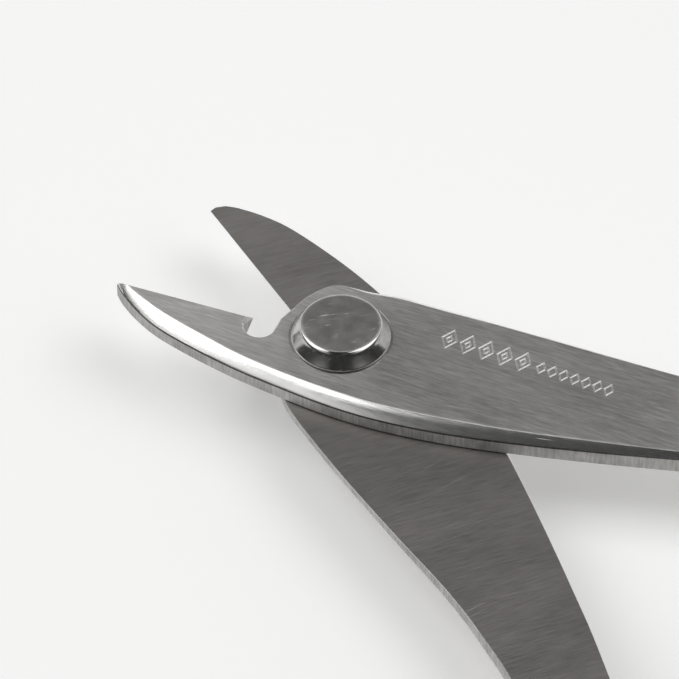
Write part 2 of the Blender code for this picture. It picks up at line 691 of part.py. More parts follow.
def main():
    for old in list(bpy.data.objects):
        bpy.data.objects.remove(old)
    blade_steel = material("blade_steel", (0.60, 0.60, 0.59), 0.32, 1.0)
    bolt_steel = material("bolt_steel", (0.50, 0.49, 0.48), 0.22, 1.0)
    plated_steel = material("plated_steel", (0.62, 0.62, 0.63), 0.30, 1.0)
    spring_steel = material("spring_steel", (0.52, 0.52, 0.53), 0.28, 1.0)
    hard_plastic = material("hard_plastic", (0.035, 0.036, 0.038), 0.45, 0.0)
    soft_rubber = material("soft_rubber", (0.045, 0.12, 0.30), 0.70, 0.0)

    root = empty("nippers")
    upper = empty("upper_side", root, (0, 0, 0), OPENING / 2)
    lower = empty("lower_side", root, (0, 0, 0), -OPENING / 2)

    hold(make_blade("upper_blade", 1, True, blade_steel), upper)
    hold(make_blade("lower_blade", -1, False, blade_steel), lower)
    for piece in (make_pivot_bolt(bolt_steel), *make_washers(plated_steel), make_pivot_nut(plated_steel)):
        hold(piece, upper)
    for label, side, holder in (("upper", 1, upper), ("lower", -1, lower)):
        hold(make_shell(f"{label}_grip_top_half", side, 1, hard_plastic), holder)
        hold(make_shell(f"{label}_grip_bottom_half", side, -1, hard_plastic), holder)
        hold(make_pad(f"{label}_grip_pad", side, soft_rubber), holder)
        for place, share in zip(("front", "rear"), SCREW_PLACES):
            hold(make_grip_screw(f"{label}_grip_{place}_screw", side, share, plated_steel), holder)
            hold(make_grip_nut(f"{label}_grip_{place}_nut", side, share, plated_steel), holder)
        hold(make_leaf(f"{label}_leaf_spring", side, spring_steel), holder)
        hold(make_spring_pin(f"{label}_spring_pin", side, plated_steel), holder)
    hold(make_cross_pin("catch_pin", 1, plated_steel), upper)
    hold(make_cross_pin("catch_stud", -1, plated_steel), lower)
    pivot = empty("catch_axis", upper, (*catch_place(), 0), CATCH_STOWED)
    hold(make_catch(plated_steel), pivot)
    centre_on_base(root)


main()
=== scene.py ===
"""Looks for the lapped by-pass nippers: ground and brushed blades on a cone-headed pivot bolt, moulded
grips with ribbed pads, rolled leaf springs and a tail catch, on a pale floor in soft light."""

import json
import math

import bmesh
import bpy
from mathutils import Matrix, Vector


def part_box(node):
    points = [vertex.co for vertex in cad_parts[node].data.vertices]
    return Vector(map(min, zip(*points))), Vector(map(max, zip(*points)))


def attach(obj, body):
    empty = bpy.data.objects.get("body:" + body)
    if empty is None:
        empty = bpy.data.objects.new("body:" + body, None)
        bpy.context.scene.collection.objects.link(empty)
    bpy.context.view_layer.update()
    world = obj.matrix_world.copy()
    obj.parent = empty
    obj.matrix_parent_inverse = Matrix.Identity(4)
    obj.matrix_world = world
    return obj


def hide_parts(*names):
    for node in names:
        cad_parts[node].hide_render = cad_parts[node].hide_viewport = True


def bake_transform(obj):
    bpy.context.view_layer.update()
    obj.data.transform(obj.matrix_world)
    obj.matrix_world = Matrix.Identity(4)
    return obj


MM = 0.001

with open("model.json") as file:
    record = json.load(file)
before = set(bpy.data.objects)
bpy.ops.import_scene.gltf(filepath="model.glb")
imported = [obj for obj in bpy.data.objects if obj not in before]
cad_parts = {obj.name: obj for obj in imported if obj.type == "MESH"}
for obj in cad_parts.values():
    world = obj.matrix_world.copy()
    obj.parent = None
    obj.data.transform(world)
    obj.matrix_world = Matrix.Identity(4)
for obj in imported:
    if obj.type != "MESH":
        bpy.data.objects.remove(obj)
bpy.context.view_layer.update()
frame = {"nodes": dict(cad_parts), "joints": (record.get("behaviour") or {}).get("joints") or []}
pivot_joint = next(joint for joint in frame["joints"] if joint["name"] == "pivot")
PIVOT = Vector(pivot_joint["pos_m"])
HALF_OPEN = math.radians(pivot_joint["range_deg"][1]) / 2

# What a plate's strips are, by place in its list of finishes; the last is the painted dark reflection line
FACE, CHAMFER, WALL, PAINTED_LINE = range(4)

# The blades, as in the solid model
JAW_LENGTH = 22.8 * MM
PLATE = 2.3 * MM
PLATE_LOW = 0.05 * MM
PLATE_TOP = PLATE_LOW + PLATE
CUT_PAST_PIVOT = 1.28 * MM
CUT_AT_TIP = 0.04 * MM
CUT_BEVEL = 1.95 * MM
CUT_LAND = 0.12 * MM
TIP_BLUNT = 1.5 * MM
TIP_SLANT = 0.15 * MM
INWARD_AT_TIP = Vector((0.97, -0.25, 0))
INWARD_AT_CORNER = Vector((-0.75, -0.66, 0))
BACK = 7.95 * MM
ARM_OUTER = 8.55 * MM
BOSS = 6.2 * MM
EDGE_BREAK = 0.12 * MM
NOTCH_WIDTH = 3.0 * MM
NOTCH_DEPTH = 4.1 * MM
NOTCH_FROM_PIVOT = 7.65 * MM
TANG_HALF = 3.3 * MM
TANG_END = 0.57
TANG_BREAK = 0.3 * MM
BORE_R = 2.56 * MM
SPOT_FACE_R = 4.95 * MM
SPOT_FACE_DEPTH = 0.12 * MM
HOLE_R = 1.75 * MM
HOLE_SHARES = (0.19, 0.42)
GRIP_START = 53.0 * MM
GRIP_LENGTH = 73.0 * MM
GRIP_BOW = 15.6 * MM
EDGE_STEPS = 10
ROUNDING = 0.14 * MM
FOOT_ROUNDING = 0.04 * MM
CREST_ROUNDING = 0.08 * MM
CHAMFER_SWELL = 0.06
CHAMFER_STEPS = 6
CLEAR = 1.0 * MM

# The pressed pattern: rows of lozenges, each with its first centre, pitch and half sizes
STAMP_DEPTH = 0.1 * MM
STAMP_STROKE = 0.16 * MM
STAMP_SPREAD = 1.6
STAMP_OVER = 0.02 * MM
LARGE_ROW = (9.6 * MM, 3.65 * MM)
LARGE_PITCH = 1.86 * MM
LARGE_HALF = (0.74 * MM, 1.20 * MM)
INNER_HALF = (0.28 * MM, 0.44 * MM)
SMALL_ROW = (18.9 * MM, 3.55 * MM)
SMALL_PITCH = 1.14 * MM
SMALL_FALL = 0.02 * MM
SMALL_HALF = (0.44 * MM, 0.70 * MM)

# The pivot bolt
SEAT_GAP = 0.1 * MM
HEAD_SEAT = PLATE_TOP - SPOT_FACE_DEPTH + SEAT_GAP
HEAD_R = 4.75 * MM
HEAD_FLAT_R = 3.5 * MM
SHANK_R = 2.5 * MM
THREAD_R = 2.0 * MM
THREAD_BREAK = 0.35 * MM

# The soft pads
GRIP_HALF = 7.7 * MM
PAD_SINK = 1.9 * MM
PAD_PROUD = 0.5 * MM
PAD_HALF_TALL = 4.2 * MM
PAD_ROUND = 0.38 * MM
PAD_END = 0.8 * MM
RIB_EVERY = 2.4 * MM
RIB_DEEP = 0.32 * MM
RIB_LAND = 0.55

# The leaf springs
EYE_R = 1.45 * MM
LEAF = 0.7 * MM
LEAF_WIDTH = 6.4 * MM
LEAF_ROUND = 0.16 * MM
LEAF_TIP = 58.0 * MM
LEAF_CURL_R = 1.9 * MM
LEAF_APART = 0.1 * MM
PIN_SHARE = 0.60
PIN_SIDE = 5.0 * MM

# Floor, light and camera
FLOOR_HALF = 3.0
FLOOR_GLOW = 0.22
AZIMUTH = math.radians(39.7)
ELEVATION = math.radians(46.8)
DISTANCE = 0.480
FIELD = 64.06 * MM
AIM_RIGHT = -0.132 * MM
AIM_UP = -0.340 * MM
SENSOR = 36
LIGHT_AWAY = 1.0
LIGHT_SIZE = 0.7


# Node materials

class Wire:
    """A value in a node tree. Arithmetic on it adds Math nodes."""

    def __init__(self, tree, socket=None):
        self.tree = tree
        self.socket = socket

    def node(self, kind, settings=(), values=(), output=0):
        """Adds a node: its settings first, then the values or wires of its sockets."""
        made = self.tree.nodes.new("ShaderNode" + kind)
        for name, value in dict(settings).items():
            setattr(made, name, value)
        for name, value in dict(values).items():
            if isinstance(value, Wire):
                self.tree.links.new(value.socket, made.inputs[name])
            else:
                made.inputs[name].default_value = value
        return Wire(self.tree, made.outputs[output])

    def maths(self, operation, *values):
        return self.node("Math", {"operation": operation}, dict(enumerate(values)))

    def __add__(self, other):
        return self.maths("ADD", self, other)

    def __radd__(self, other):
        return self.maths("ADD", other, self)

    def __sub__(self, other):
        return self.maths("SUBTRACT", self, other)

    def __rsub__(self, other):
        return self.maths("SUBTRACT", other, self)

    def __mul__(self, other):
        return self.maths("MULTIPLY", self, other)

    def __rmul__(self, other):
        return self.maths("MULTIPLY", other, self)

    def limited(self, low, high):
        """0 below low, 1 above high, smooth between."""
        return self.node("MapRange", {"interpolation_type": "SMOOTHSTEP"}, {
            "Value": self, "From Min": low, "From Max": high})


def finish_of(name, build, metallic=1.0, specular=0.5):
    """A material whose build function returns its colour, roughness and normal."""
    made = bpy.data.materials.new(name)
    made.use_nodes = True
    tree = made.node_tree
    shader = tree.nodes["Principled BSDF"]
    shader.inputs["Metallic"].default_value = metallic
    shader.inputs["Specular IOR Level"].default_value = specular
    for socket, value in zip(("Base Color", "Roughness", "Normal"), build(Wire(tree))):
        if isinstance(value, Wire):
            tree.links.new(value.socket, shader.inputs[socket])
        else:
            shader.inputs[socket].default_value = value
    return made


def place(start, turn=0.0, scale=(1, 1, 1)):
    """The piece's own coordinates, turned about Z and stretched."""
    where = start.node("TexCoord", output=3)
    return start.node("Mapping", {"vector_type": "TEXTURE"}, {
        "Vector": where, "Rotation": (0, 0, turn),
        "Scale": tuple(1 / size for size in scale)})


def grain(start, where, scale=1.0, detail=3.0, rough=0.6):
    return start.node("TexNoise", {}, {
        "Vector": where, "Scale": scale, "Detail": detail, "Roughness": rough})


def bumped(start, height, strength, distance):
    return start.node("Bump", {}, {"Height": height, "Strength": strength, "Distance": distance})


def tinted(start, dark, light, share):
    """A colour between two, by a share."""
    return start.node("Mix", {"data_type": "RGBA"}, {0: share, 6: (*dark, 1), 7: (*light, 1)}, 2)


def brushed(name, turn, dark, light, rough, streak=1.0, depth=0.5, honed=0.0):
    """Steel brushed along one direction: long fine lines, a few deeper ones, and faint cloudy tone.
    honed makes it more matt towards the jaw's tip."""
    def build(start):
        fine = grain(start, place(start, turn, (460, 6800, 6800)), 1.0, 3.0, 0.75)
        broad = grain(start, place(start, turn, (140, 1700, 1700)), 1.0, 3.0, 0.6)
        cloud = grain(start, place(start, turn, (60, 130, 130)), 1.0, 2.0, 0.5)
        crossing = place(start, turn + 0.22, (160, 5200, 5200))
        scratch = grain(start, crossing, 1.0, 2.0, 0.5).limited(0.70, 0.76)
        tone = fine * 1.3 * streak + broad * 0.3 * streak + cloud * 0.2 + (0.4 - 0.8 * streak)
        colour = tinted(start, dark, light, tone.limited(0.1, 0.9))
        roughness = fine * 0.14 + cloud * 0.10 + scratch * 0.06 + (rough - 0.12)
        if honed:
            along = start.node("SeparateXYZ", {}, {0: start.node("TexCoord", output=3)})
            nearing = along.limited(PIVOT.x + 9 * MM, PIVOT.x - 20 * MM)
            roughness = roughness + nearing * honed
        height = fine * 0.7 + broad * 0.3 - scratch * 0.5
        return colour, roughness, bumped(start, height, depth, 0.012 * MM)
    return finish_of(name, build)


def ground_edge(name, dark, light, rough):
    """A ground or sheared edge: short marks running up and down the wall."""
    def build(start):
        marks = grain(start, place(start, 0.0, (4200, 4200, 500)), 1.0, 3.0, 0.65)
        cloud = grain(start, place(start, 0.0, (300, 300, 300)), 1.0, 2.0, 0.5)
        colour = tinted(start, dark, light, (marks * 0.7 + cloud * 0.5 - 0.1).limited(0.15, 0.85))
        return colour, marks * 0.2 + cloud * 0.1 + (rough - 0.15), bumped(start, marks, 0.5, 0.02 * MM)
    return finish_of(name, build)


def polished(name, dark, light, rough, scuff=1.0):
    """Smooth turned steel with hairline scuffs."""
    def build(start):
        cloud = grain(start, place(start, 0.3, (700, 700, 700)), 1.0, 3.0, 0.6)
        hair = grain(start, place(start, 0.9, (500, 6000, 500)), 1.0, 2.0, 0.5).limited(0.66, 0.72)
        pits = grain(start, place(start, 0.0, (5200, 5200, 5200)), 1.0, 1.0, 0.5).limited(0.70, 0.78)
        tone = cloud * 1.1 + hair * 0.25 * scuff - pits * 0.3 - 0.05
        colour = tinted(start, dark, light, tone.limited(0, 1))
        roughness = cloud * 0.1 + hair * 0.2 * scuff + (rough - 0.05)
        height = hair * -0.6 - pits * 0.8 + cloud * 0.2
        return colour, roughness, bumped(start, height, 0.35 * scuff, 0.01 * MM)
    return finish_of(name, build)


def moulded(name, dark, light, rough, cell, depth):
    """Moulded plastic or rubber: a fine leathery spark-eroded skin, with wear on it."""
    def build(start):
        where = place(start, 0.0, (1, 1, 1))
        skin = start.node("TexVoronoi", {"feature": "SMOOTH_F1"}, {"Vector": where, "Scale": cell})
        fine = grain(start, where, cell * 2.2, 3.0, 0.6)
        cloud = grain(start, where, 90.0, 3.0, 0.5)
        colour = tinted(start, dark, light, (cloud * 0.8 + fine * 0.3 - 0.1).limited(0.2, 0.8))
        roughness = cloud * 0.16 + fine * 0.1 + (rough - 0.12)
        return colour, roughness, bumped(start, skin * 0.6 + fine * 0.4, 0.5, depth)
    return finish_of(name, build, metallic=0.0)


# Outlines

def through(points, steps):
    """Catmull-Rom curve through points of any dimension, with the last point left in."""
    ends = [points[0], *points, points[-1]]
    curve = []
    for before, start, end, after in zip(ends, ends[1:], ends[2:], ends[3:]):
        for step in range(steps):
            t = step / steps
            curve.append(tuple(
                0.5 * (2 * b + (c - a) * t + (2 * a - 5 * b + 4 * c - d) * t ** 2
                       + (3 * b - a - 3 * c + d) * t ** 3)
                for a, b, c, d in zip(before, start, end, after)
            ))
    return [*curve, tuple(points[-1])]


def arc(radius, start, end, steps, centre=(0, 0)):
    turns = [start + (end - start) * step / steps for step in range(steps + 1)]
    return [(centre[0] + radius * math.cos(turn), centre[1] + radius * math.sin(turn)) for turn in turns]


def circle(radius, count, centre=(0, 0)):
    return arc(radius, 0, 2 * math.pi * (count - 1) / count, count - 1, centre)


def turned_by(point, angle):
    x, y = point
    return (x * math.cos(angle) - y * math.sin(angle), x * math.sin(angle) + y * math.cos(angle))


def cut_line(x):
    return CUT_PAST_PIVOT + x * (CUT_PAST_PIVOT - CUT_AT_TIP) / JAW_LENGTH


def grip_centre(share):
    """A point on the grip's middle curve, by its share of the grip's length."""
    controls = [
        (0, 0.585), (0.14, 0.79), (0.32, 0.965), (0.48, 1.0), (0.66, 0.90), (0.82, 0.655), (1.0, 0.33),
    ]
    curve = through([(along, rise * GRIP_BOW) for along, rise in controls], 12)
    for (x0, y0), (x1, y1) in zip(curve, curve[1:]):
        if share <= x1:
            break
    return (GRIP_START + share * GRIP_LENGTH, y0 + (y1 - y0) * (share - x0) / (x1 - x0))


def back_edge():
    """(x, y, chamfer width, chamfer depth) from the tip along the jaw's back and the arm's inner edge."""
    jaw = [
        (-0.991, -0.19, 0.6, 0.68), (-0.939, -0.327, 0.75, 0.7), (-0.845, -0.497, 1.1, 0.84),
        (-0.730, -0.642, 1.3, 0.95), (-0.553, -0.774, 1.3, 0.95), (-0.35, -0.885, 1.15, 0.95),
        (-0.13, -0.956, 1.15, 0.95),
    ]
    arm = [
        (2.0, -1.0, 1.25, 0.95), (7.0, -0.985, 1.25, 0.95), (13.0, -0.888, 1.2, 0.92),
        (20.0, -0.703, 0.95, 0.85), (28.0, -0.443, 0.75, 0.75), (36.0, -0.157, 0.45, 0.6),
        (43.0, 0.112, 0.35, 0.4),
    ]
    points = [(x * JAW_LENGTH, y * BACK, wide * MM, deep * MM) for x, y, wide, deep in jaw]
    points += [(x * MM, y * BACK, wide * MM, deep * MM) for x, y, wide, deep in arm]
    x, y = grip_centre(0.0)
    points.append((x + 1.0 * MM, y - 4.3 * MM, TANG_BREAK, TANG_BREAK))
    for share in (0.14, 0.30, 0.46, TANG_END):
        x, y = grip_centre(share)
        points.append((x, y - TANG_HALF, TANG_BREAK, TANG_BREAK))
    return points


def outer_edge():
    """The same from the tang's end back along the arm's outer edge to the pivot boss."""
    points = []
    for share in (TANG_END, 0.46, 0.30, 0.14):
        x, y = grip_centre(share)
        points.append((x, y + TANG_HALF, TANG_BREAK, TANG_BREAK))
    x, y = grip_centre(0.0)
    points.append((x - 1.5 * MM, y + 4.1 * MM, 0.35 * MM, 0.4 * MM))
    arm = [
        (43.0, 1.15, 0.55, 0.6), (36.0, 1.025, 0.72, 0.85), (30.0, 0.979, 0.72, 1.0),
        (22.0, 0.996, 1.14, 1.3), (14.0, 0.999, 1.38, 1.42), (8.0, 0.978, 1.5, 1.45),
        (3.2, 0.933, 1.33, 1.32), (0.2, 0.83, 0.95, 0.9),
    ]
    points += [(x * MM, y * ARM_OUTER, wide * MM, deep * MM) for x, y, wide, deep in arm]
    for turn, reach in ((113, 1.08), (128, 1.05), (145, 0.985), (163, 0.945)):
        x, y = turned_by((reach * BOSS, 0), math.radians(turn))
        points.append((x, y, EDGE_BREAK, EDGE_BREAK))
    return points


def wire_notch():
    """The notch's outline from the boss round to the foot of its front wall."""
    half = NOTCH_WIDTH / 2
    floor = cut_line(-NOTCH_FROM_PIVOT) - NOTCH_DEPTH
    centre = (-NOTCH_FROM_PIVOT, floor + half)
    return [(centre[0] + half, centre[1] + 1.6 * MM), *arc(half, 0, -math.pi * 0.94, 20, centre)[1:]]


def with_top(points):
    """Each (x, y, width, depth) as its places in the lap plane and the outer face and its break's height."""
    made = []
    for before, here, after in zip([points[0], *points], points, [*points[1:], points[-1]]):
        along = (Vector(after[:2]) - Vector(before[:2])).normalized()
        x, y, wide, deep = here
        made.append(((x, y), (x - along.y * wide, y + along.x * wide), PLATE_TOP - deep))
    return made


def blade_edge(notched):
    """(place in the lap plane, place in the outer face, height of the break) all round the plate."""
    tip = (-JAW_LENGTH, cut_line(-JAW_LENGTH))
    tip_top = (-JAW_LENGTH + TIP_BLUNT, cut_line(-JAW_LENGTH + TIP_BLUNT) - CUT_BEVEL)
    land = PLATE_LOW + CUT_LAND
    back = with_top(through(back_edge(), EDGE_STEPS))
    reach = tip_top[0] + 2 * TIP_SLANT
    back = [(low, top if top[0] > reach else tip_top, height) for low, top, height in back]
    tip_end = [
        (tip, tip_top, land),
        ((tip[0] - TIP_SLANT, tip[1] - 0.42 * TIP_BLUNT), tip_top, PLATE_LOW + 0.30 * PLATE),
    ]
    points = [*tip_end, *back, *with_top(through(outer_edge(), EDGE_STEPS))]
    corner_x = -BOSS * 0.935
    foot_x = corner_x
    if notched:
        notch = wire_notch()
        points += with_top([(x, y, EDGE_BREAK, EDGE_BREAK) for x, y in notch])
        corner_x = -NOTCH_FROM_PIVOT - NOTCH_WIDTH * 0.59
        share = CUT_BEVEL / (cut_line(corner_x) - notch[-1][1])
        foot_x = corner_x + (notch[-1][0] - corner_x) * share
    corner = (corner_x, cut_line(corner_x))
    points.append((corner, (foot_x, corner[1] - CUT_BEVEL), land))
    return points


# Meshes

def piece_of(name, points, faces, materials, kinds=None, sharp=32):
    """A piece from its points and faces, smooth where its faces meet at less than the sharp angle."""
    mesh = bpy.data.meshes.new(name)
    mesh.from_pydata(points, [], faces)
    for made in materials:
        mesh.materials.append(made)
    if kinds:
        mesh.polygons.foreach_set("material_index", kinds)
    bm = bmesh.new()
    bm.from_mesh(mesh)
    bmesh.ops.remove_doubles(bm, verts=bm.verts, dist=1e-7)
    bmesh.ops.recalc_face_normals(bm, faces=bm.faces)
    for edge in bm.edges:
        flat = max((len(face.verts) for face in edge.link_faces), default=0) > 40
        edge.smooth = not flat and edge.calc_face_angle(math.pi) < math.radians(sharp)
    for face in bm.faces:
        face.smooth = True
    bm.to_mesh(mesh)
    bm.free()
    piece = bpy.data.objects.new(name, mesh)
    bpy.context.scene.collection.objects.link(piece)
    return piece


def lofted(name, rings, materials, strip_kinds=None, columns=None, sharp=32):
    """Rings of as many points each, joined in turn and capped. Each step's column may swap strip kinds."""
    count = len(rings[0])
    points = [point for ring in rings for point in ring]
    faces = []
    kinds = []
    for low in range(len(rings) - 1):
        high = low + 1
        for step in range(count):
            after = (step + 1) % count
            near = (low * count + step, low * count + after)
            faces.append((*near, high * count + after, high * count + step))
            kind = strip_kinds[low] if strip_kinds else 0
            kinds.append(columns[step].get(kind, kind) if columns else kind)
    faces.append(tuple(range(count))[::-1])
    faces.append(tuple((len(rings) - 1) * count + step for step in range(count)))
    kinds += [0, 0]
    return piece_of(name, points, faces, materials, kinds, sharp)


def bowed(start, end, swell, steps):
    """Points between two places on a low curve that stands out up and away by a share of the distance."""
    across = end - start
    level = Vector((across.x, across.y, 0))
    out = Vector((-across.z * level.x, -across.z * level.y, level.length ** 2)).normalized()
    middle = (start + end) / 2 + out * across.length * 2 * swell
    made = []
    for step in range(1, steps):
        t = step / steps
        made.append(start * (1 - t) ** 2 + middle * (2 * t * (1 - t)) + end * t ** 2)
    return made


def eased(corner, before, after, reach, steps=3):
    """A small rounding at a corner between two neighbours."""
    to_before = (before - corner)
    to_after = (after - corner)
    one = corner + to_before.normalized() * min(reach, to_before.length * 0.45)
    two = corner + to_after.normalized() * min(reach, to_after.length * 0.45)
    made = []
    for step in range(steps + 1):
        t = step / steps
        made.append(one * (1 - t) ** 2 + corner * (2 * t * (1 - t)) + two * t ** 2)
    return made


def into_place(points, side):
    """Points of the upper blade's own frame put where the side's blade lies when open."""
    turn = Matrix.Rotation(side * HALF_OPEN, 3, "Z")
    return [PIVOT + turn @ Vector((x, side * y, side * z)) for x, y, z in points]


def cut_away(piece, cutter):
    """Takes the cutter out of the piece for good and removes it."""
    modifier = piece.modifiers.new("cut", "BOOLEAN")
    modifier.solver = "EXACT"
    modifier.object = cutter
    bpy.context.view_layer.update()
    graph = bpy.context.evaluated_depsgraph_get()
    mesh = bpy.data.meshes.new_from_object(piece.evaluated_get(graph))
    piece.modifiers.clear()
    piece.data = mesh
    bpy.data.objects.remove(cutter)


def resharpen(piece, sharp=10):
    """Level faces flat and all others smooth up to the sharp angle, after cuts."""
    bm = bmesh.new()
    bm.from_mesh(piece.data)
    bmesh.ops.dissolve_degenerate(bm, dist=2e-6, edges=bm.edges)
    level = [face for face in bm.faces if abs(face.normal.z) > 0.9999 and len(face.verts) > 4]
    bmesh.ops.triangulate(bm, faces=level, ngon_method="BEAUTY")
    for edge in bm.edges:
        edge.smooth = edge.calc_face_angle(math.pi) < math.radians(sharp)
    for face in bm.faces:
        face.smooth = abs(face.normal.z) < 0.99999
    bm.to_mesh(piece.data)
    bm.free()


def drum(radius, low, high, side, material, centre=(0, 0), count=96):
    """A plain round cutter in a blade's frame, whose finish lines the hole."""
    rings = [into_place([(x, y, z) for x, y in circle(radius, count, centre)], side) for z in (low, high)]
    return lofted("cutter", rings, [material])


def lozenge(centre, half_long, half_tall):
    x, y = centre
    return [(x + half_long, y), (x, y + half_tall), (x - half_long, y), (x, y - half_tall)]


def grooves(outlines, material):
    """One cutter: a groove with sloping sides along each four-cornered outline."""
    half = STAMP_STROKE / 2
    points = []
    faces = []
    for outline in outlines:
        middle = sum((Vector(corner) for corner in outline), Vector((0, 0))) / len(outline)
        first = len(points)
        reach = min((Vector(corner) - middle).length for corner in outline)
        spread = half / reach * STAMP_SPREAD
        for share, height in ((1 + spread, STAMP_OVER), (1.0, -STAMP_DEPTH), (1 - spread, STAMP_OVER)):
            ring = [middle + (Vector(corner) - middle) * share for corner in outline]
            points += into_place([(x, y, PLATE_TOP + height) for x, y in ring], 1)
        count = len(outline)
        for low in range(3):
            high = (low + 1) % 3
            for step in range(count):
                after = (step + 1) % count
                near = (low * count + step, low * count + after)
                corners = (*near, high * count + after, high * count + step)
                faces.append(tuple(first + index for index in corners))
    return piece_of("cutter", points, faces, [material], sharp=5)


def stamp_pattern():
    """A row of large lozenges with small ones inside, then a row of smaller lozenges."""
    outlines = []
    for step in range(5):
        centre = (LARGE_ROW[0] + LARGE_PITCH * step, LARGE_ROW[1])
        outlines.append(lozenge(centre, *LARGE_HALF))
        outlines.append(lozenge(centre, *INNER_HALF))
    for step in range(7):
        centre = (SMALL_ROW[0] + SMALL_PITCH * step, SMALL_ROW[1] - SMALL_FALL * step)
        outlines.append(lozenge(centre, *SMALL_HALF))
    return outlines


def make_blade(name, side, notched, face, chamfer, wall, line, stamped):
    """One plate with its chamfer and bevel round it, then its bore, spot face, screw holes and pattern."""
    edge = blade_edge(notched)
    tip_top = edge[0][1]
    rings = None
    for low, top, height in edge:
        foot = Vector((*low, PLATE_LOW))
        shoulder = Vector((*low, height))
        crest = Vector((*top, PLATE_TOP))
        inward = Vector((crest.x - shoulder.x, crest.y - shoulder.y, 0)).normalized()
        if top == tip_top:
            inward = INWARD_AT_TIP
        elif (low, top, height) == edge[-1]:
            inward = INWARD_AT_CORNER
        swell = 0.0 if height < PLATE_LOW + PLATE * 0.4 else CHAMFER_SWELL
        chamfer_run = bowed(shoulder, crest, swell, CHAMFER_STEPS)
        profile = eased(foot, foot + inward * MM, shoulder, FOOT_ROUNDING, 1)
        profile += eased(shoulder, foot, chamfer_run[0], ROUNDING * 0.7, 2)
        profile += chamfer_run
        profile += eased(crest, chamfer_run[-1], crest + inward * MM, CREST_ROUNDING)
        if rings is None:
            rings = [[] for _ in profile]
        for ring, point in zip(rings, profile):
            ring.append(tuple(point))
    # The two strips of the rounding between wall and chamfer are painted near black along the back edge: a
    # painted dark reflection line
    strips = [CHAMFER, WALL, PAINTED_LINE, PAINTED_LINE] + [CHAMFER] * (len(rings) - 8) + [FACE] * 3
    placed = [into_place(ring, side) for ring in rings]
    back = len(through(back_edge(), EDGE_STEPS))
    columns = []
    for station, (_, _, height) in enumerate(edge):
        if height > PLATE_TOP - 0.3 * MM:
            columns.append({CHAMFER: FACE, PAINTED_LINE: FACE})
        else:
            columns.append({} if 2 < station < back else {PAINTED_LINE: CHAMFER})
    blade = lofted(name, placed, [face, chamfer, wall, line], strips, columns)
    through_plate = (PLATE_LOW - CLEAR, PLATE_TOP + CLEAR)
    cut_away(blade, drum(BORE_R, *through_plate, side, wall))
    cut_away(blade, drum(SPOT_FACE_R, PLATE_TOP - SPOT_FACE_DEPTH, PLATE_TOP + CLEAR, side, face))
    for share in HOLE_SHARES:
        cut_away(blade, drum(HOLE_R, *through_plate, side, wall, grip_centre(share), 32))
    if notched:
        cut_away(blade, grooves(stamp_pattern(), stamped))
    resharpen(blade)
    return blade


def lathe(name, profile, count, materials, strip_kinds, sharp):
    """Turned round the pivot's axis from (radius, height above the lap plane) pairs."""
    rings = [
        [PIVOT + Vector((x, y, height)) for x, y in circle(max(radius, 1e-6), count)]
        for radius, height in profile
    ]
    return lofted(name, rings, materials, strip_kinds, sharp=sharp)


def rounded_section(thick, wide, radius, steps=3):
    """(across, height) round a strip's section."""
    section = []
    for sign_x, sign_y, turn in ((1, 1, 0), (-1, 1, 0.5), (-1, -1, 1), (1, -1, 1.5)):
        centre = (sign_x * (thick / 2 - radius), sign_y * (wide / 2 - radius))
        section += arc(radius, turn * math.pi, (turn + 0.5) * math.pi, steps, centre)
    return section


# Finishes

ARM_TURN = HALF_OPEN
face_upper = brushed(
    "brushed_upper_face", ARM_TURN, (0.56, 0.555, 0.545), (0.85, 0.84, 0.825), 0.40, honed=0.15)
# The lower plate's face is painted darker than the upper's: painted shade standing for the darker reflection
# it shows, the steel being the same
face_lower_painted_darker = brushed(
    "brushed_lower_face_painted_darker", 1.05, (0.32, 0.306, 0.297), (0.50, 0.475, 0.462), 0.42, 0.5, honed=0.05)
chamfer_steel = brushed("ground_chamfer", ARM_TURN, (0.66, 0.66, 0.65), (0.94, 0.94, 0.93), 0.22, 0.6, 0.9)
wall_steel = ground_edge("sheared_wall", (0.32, 0.315, 0.305), (0.74, 0.73, 0.715), 0.7)
# Near-black paint for the shoulder rounding between wall and chamfer: a painted dark reflection, not a mark
# on the steel
painted_dark_line = ground_edge("painted_dark_reflection_line", (0.04, 0.04, 0.04), (0.16, 0.155, 0.15), 0.5)
stamp_steel = ground_edge("pressed_mark", (0.62, 0.62, 0.61), (0.85, 0.85, 0.84), 0.30)
head_top = polished("head_top", (0.56, 0.54, 0.53), (0.78, 0.76, 0.745), 0.36)
head_side = polished("head_side", (0.36, 0.355, 0.35), (0.66, 0.655, 0.65), 0.12, 0.8)
zinc = polished("bright_zinc", (0.50, 0.50, 0.51), (0.68, 0.68, 0.70), 0.28, 0.8)
spring_finish = brushed("spring_strip", -0.9, (0.34, 0.34, 0.35), (0.56, 0.56, 0.57), 0.30, 0.7)
plastic = moulded("moulded_black", (0.018, 0.018, 0.020), (0.034, 0.034, 0.036), 0.46, 2600.0, 0.05 * MM)
rubber = moulded("soft_blue_rubber", (0.020, 0.075, 0.21), (0.035, 0.11, 0.29), 0.68, 1900.0, 0.08 * MM)

for node, finish in (
    ("pivot_washer", zinc), ("wave_washer", spring_finish), ("pivot_nut", zinc), ("catch_lever", zinc),
    ("catch_pin", zinc), ("catch_stud", zinc),
):
    frame["nodes"][node].data.materials[0] = finish
for side in ("upper", "lower"):
    for label, finish in (
        ("grip_top_half", plastic), ("grip_bottom_half", plastic), ("grip_pad", rubber),
        ("grip_front_screw", zinc), ("grip_rear_screw", zinc), ("grip_front_nut", zinc),
        ("grip_rear_nut", zinc), ("spring_pin", zinc), ("leaf_spring", spring_finish),
    ):
        frame["nodes"][f"{side}_{label}"].data.materials[0] = finish

